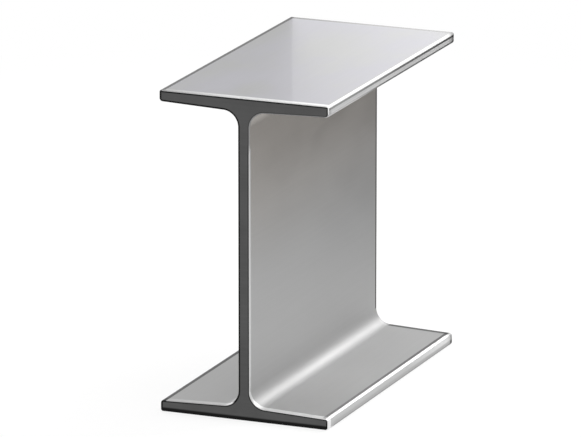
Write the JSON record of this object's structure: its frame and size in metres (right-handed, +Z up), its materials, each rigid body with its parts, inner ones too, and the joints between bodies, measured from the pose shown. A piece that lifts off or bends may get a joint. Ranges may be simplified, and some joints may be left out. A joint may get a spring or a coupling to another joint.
{
  "type": "i-beam",
  "caption": "Short sawn length of rolled steel I-beam: two slightly tapered flanges on a central web, with rounded roots.",
  "frame": {"origin": "middle of the underside of the lower flange, half way along the beam", "axes": "+X across the flanges, +Y along the beam's length from the sawn end at the front to the one at the back, +Z up the web"},
  "size_m": [0.064, 0.12, 0.117],
  "materials": {
    "steel": "satin"
  },
  "bodies": {
    "root": {"i_beam": "steel"}
  },
  "joints": []
}
